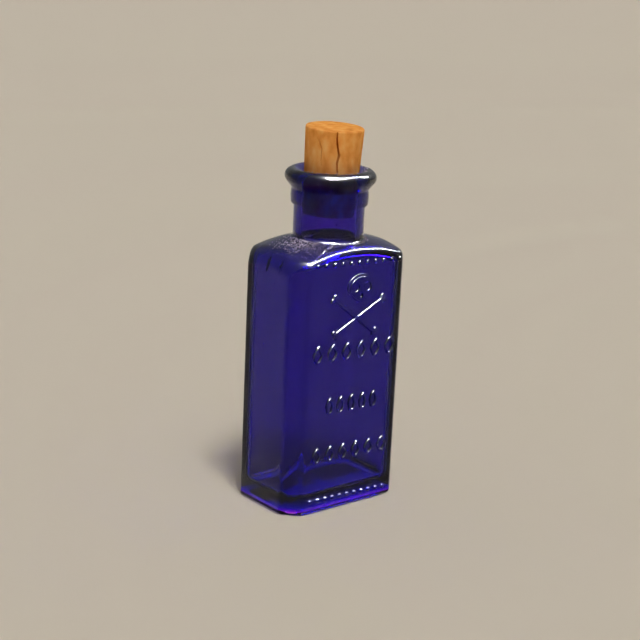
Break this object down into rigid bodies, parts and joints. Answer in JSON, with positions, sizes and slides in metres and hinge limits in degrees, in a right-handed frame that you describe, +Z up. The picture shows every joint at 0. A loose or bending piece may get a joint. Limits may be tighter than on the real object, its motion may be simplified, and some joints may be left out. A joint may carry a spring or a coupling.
{
  "type": "poison bottle",
  "caption": "Small cobalt glass poison bottle with a rectangular body, cut corners, arched shoulder, rolled lip and a tapered cork that pulls out.",
  "frame": {"origin": "middle of the base, on the surface that the bottle stands on", "axes": "+Z up along the neck, X along the broad faces, the broad face with the raised signs looks along -Y"},
  "size_m": [0.0358, 0.0232, 0.0915],
  "materials": {
    "cobalt_glass": "glossy moulded glass",
    "cork": "dry aged cork"
  },
  "bodies": {
    "bottle": {"glass_bottle": "cobalt_glass"},
    "stopper": {"cork_stopper": "cork"}
  },
  "joints": [
    {"name": "cork_pull", "type": "slide", "parent": "bottle", "child": "stopper", "axis": [0, 0, 1], "range_m": [0, 0.03]}
  ]
}
